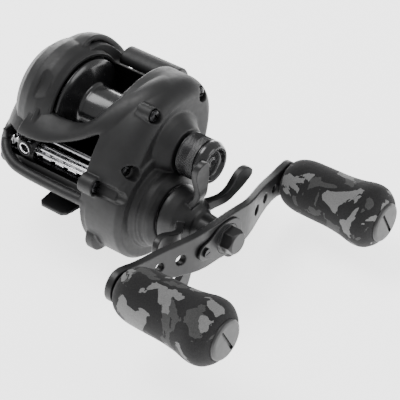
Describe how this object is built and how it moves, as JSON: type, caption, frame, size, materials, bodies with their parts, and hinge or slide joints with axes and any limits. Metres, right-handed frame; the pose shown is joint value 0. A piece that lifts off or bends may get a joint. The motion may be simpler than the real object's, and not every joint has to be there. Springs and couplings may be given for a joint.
{
  "type": "baitcasting fishing reel",
  "caption": "Low-profile baitcasting fishing reel with a level wind, star drag, spool tension knob, thumb bar and swept double handle with foam power knobs.",
  "frame": {"origin": "middle of the reel foot's flat underside, where the reel sits on a rod's reel seat", "axes": "+X to the handle side along the spool axis, +Y to the thumb bar and the angler, +Z away from the rod"},
  "size_m": [0.1226, 0.11, 0.061],
  "materials": {
    "body_black": "soft matte black",
    "black_aluminium": "black anodised satin",
    "gloss_aluminium": "gloss black anodised",
    "black_steel": "black oxide, bright edges",
    "steel": "ground",
    "magnet_steel": "plated",
    "bright_metal": "polished",
    "brass": "machined",
    "dark_plastic": "moulded",
    "cap_grey": "satin dark grey",
    "foam": "closed-cell foam printed with charcoal and mid-grey camouflage"
  },
  "bodies": {
    "reel_body": {"frame": "body_black", "front_hood": "body_black", "palm_side_plate": "body_black", "gear_side_plate": "body_black", "gear_plate_screws": "black_steel", "palm_plate_screw": "black_steel", "tension_spacer": "brass", "palm_spool_bearing": "steel", "gear_spool_bearing": "steel", "pinion_bearing": "steel", "yoke_posts": "steel", "yoke_springs": "steel", "drive_bearing": "steel", "pawl_pin": "steel", "one_way_bearing": "steel", "bearing_retainer": "dark_plastic", "worm_bushings": "dark_plastic", "worm_guard": "bright_metal", "guide_rod": "steel", "reel_foot": "body_black", "foot_screws": "black_steel"},
    "crank": {"drive_shaft": "steel", "guide_drive_gear": "dark_plastic", "ratchet": "steel", "main_gear": "brass", "drag_washers": "dark_plastic", "drag_pressure_plate": "steel", "bearing_sleeve": "steel", "spring_washers": "steel", "handle_arm": "black_aluminium", "handle_nut": "black_aluminium", "nut_retainer": "black_aluminium", "retainer_screw": "black_steel", "knob_spindles": "steel"},
    "star": {"star_drag": "black_aluminium"},
    "front_knob": {"front_knob_grip": "foam", "front_knob_core": "dark_plastic", "front_knob_cap": "cap_grey"},
    "rear_knob": {"rear_knob_grip": "foam", "rear_knob_core": "dark_plastic", "rear_knob_cap": "cap_grey"},
    "spool_set": {"spool": "gloss_aluminium", "spool_shaft": "steel", "spool_pin": "steel", "brake_rotor": "gloss_aluminium"},
    "yoke": {"pinion_yoke": "dark_plastic"},
    "pinion": {"pinion_gear": "brass"},
    "clutch_bar": {"thumb_bar": "body_black", "clutch_plate": "steel"},
    "tension_cap": {"tension_knob": "black_aluminium"},
    "brake_knob": {"brake_dial": "dark_plastic"},
    "magnet_carrier": {"magnet_holder": "dark_plastic", "brake_magnets": "magnet_steel"},
    "worm": {"worm_shaft": "bright_metal", "worm_gear": "dark_plastic"},
    "guide": {"line_guide": "dark_plastic", "line_guide_ring": "bright_metal", "guide_pawl": "steel", "pawl_cap": "dark_plastic"},
    "pawl": {"anti_reverse_pawl": "steel"}
  },
  "joints": [
    {"name": "handle_turn", "type": "hinge", "parent": "reel_body", "child": "crank", "pos_m": [0, -0.0104, 0.00469], "axis": [1, 0, 0], "continuous": true},
    {"name": "star_turn", "type": "hinge", "parent": "crank", "child": "star", "pos_m": [0, -0.0104, 0.00469], "axis": [1, 0, 0], "range_deg": [-180, 180]},
    {"name": "front_knob_spin", "type": "hinge", "parent": "crank", "child": "front_knob", "pos_m": [0.05, -0.0543, 0.01023], "axis": [1, 0, 0], "continuous": true},
    {"name": "rear_knob_spin", "type": "hinge", "parent": "crank", "child": "rear_knob", "pos_m": [0.05, 0.0335, -0.00086], "axis": [1, 0, 0], "continuous": true},
    {"name": "spool_spin", "type": "hinge", "parent": "reel_body", "child": "spool_set", "pos_m": [0, 0, 0.022], "axis": [1, 0, 0], "continuous": true},
    {"name": "clutch_press", "type": "slide", "parent": "reel_body", "child": "clutch_bar", "axis": [0, 0, -1], "range_m": [0, 0.004]},
    {"name": "yoke_shift", "type": "slide", "parent": "reel_body", "child": "yoke", "axis": [1, 0, 0], "range_m": [0, 0.0008], "deforming": ["yoke_springs"]},
    {"name": "pinion_spin", "type": "hinge", "parent": "yoke", "child": "pinion", "pos_m": [0, 0, 0.022], "axis": [1, 0, 0], "continuous": true},
    {"name": "tension_turn", "type": "hinge", "parent": "reel_body", "child": "tension_cap", "pos_m": [0, 0, 0.022], "axis": [1, 0, 0], "range_deg": [-180, 360]},
    {"name": "brake_turn", "type": "hinge", "parent": "reel_body", "child": "brake_knob", "pos_m": [0, 0, 0.022], "axis": [1, 0, 0], "range_deg": [0, 270]},
    {"name": "magnet_slide", "type": "slide", "parent": "reel_body", "child": "magnet_carrier", "axis": [1, 0, 0], "range_m": [0, 0.002]},
    {"name": "worm_spin", "type": "hinge", "parent": "reel_body", "child": "worm", "pos_m": [0, -0.0209, 0.01365], "axis": [1, 0, 0], "continuous": true},
    {"name": "guide_slide", "type": "slide", "parent": "reel_body", "child": "guide", "axis": [1, 0, 0], "range_m": [0, 0.022]},
    {"name": "pawl_rock", "type": "hinge", "parent": "reel_body", "child": "pawl", "pos_m": [0, -0.01, -0.0068], "axis": [1, 0, 0], "range_deg": [-8, 0]}
  ],
  "couplings": [
    {"joint": "pinion_spin", "follows": "handle_turn", "ratio": -6.7692},
    {"joint": "spool_spin", "follows": "handle_turn", "ratio": -6.7692},
    {"joint": "worm_spin", "follows": "handle_turn", "ratio": -3.0588},
    {"joint": "yoke_shift", "follows": "clutch_press", "ratio": 0.2},
    {"joint": "brake_turn", "follows": "magnet_slide", "rad_per_m": 2356.2}
  ]
}
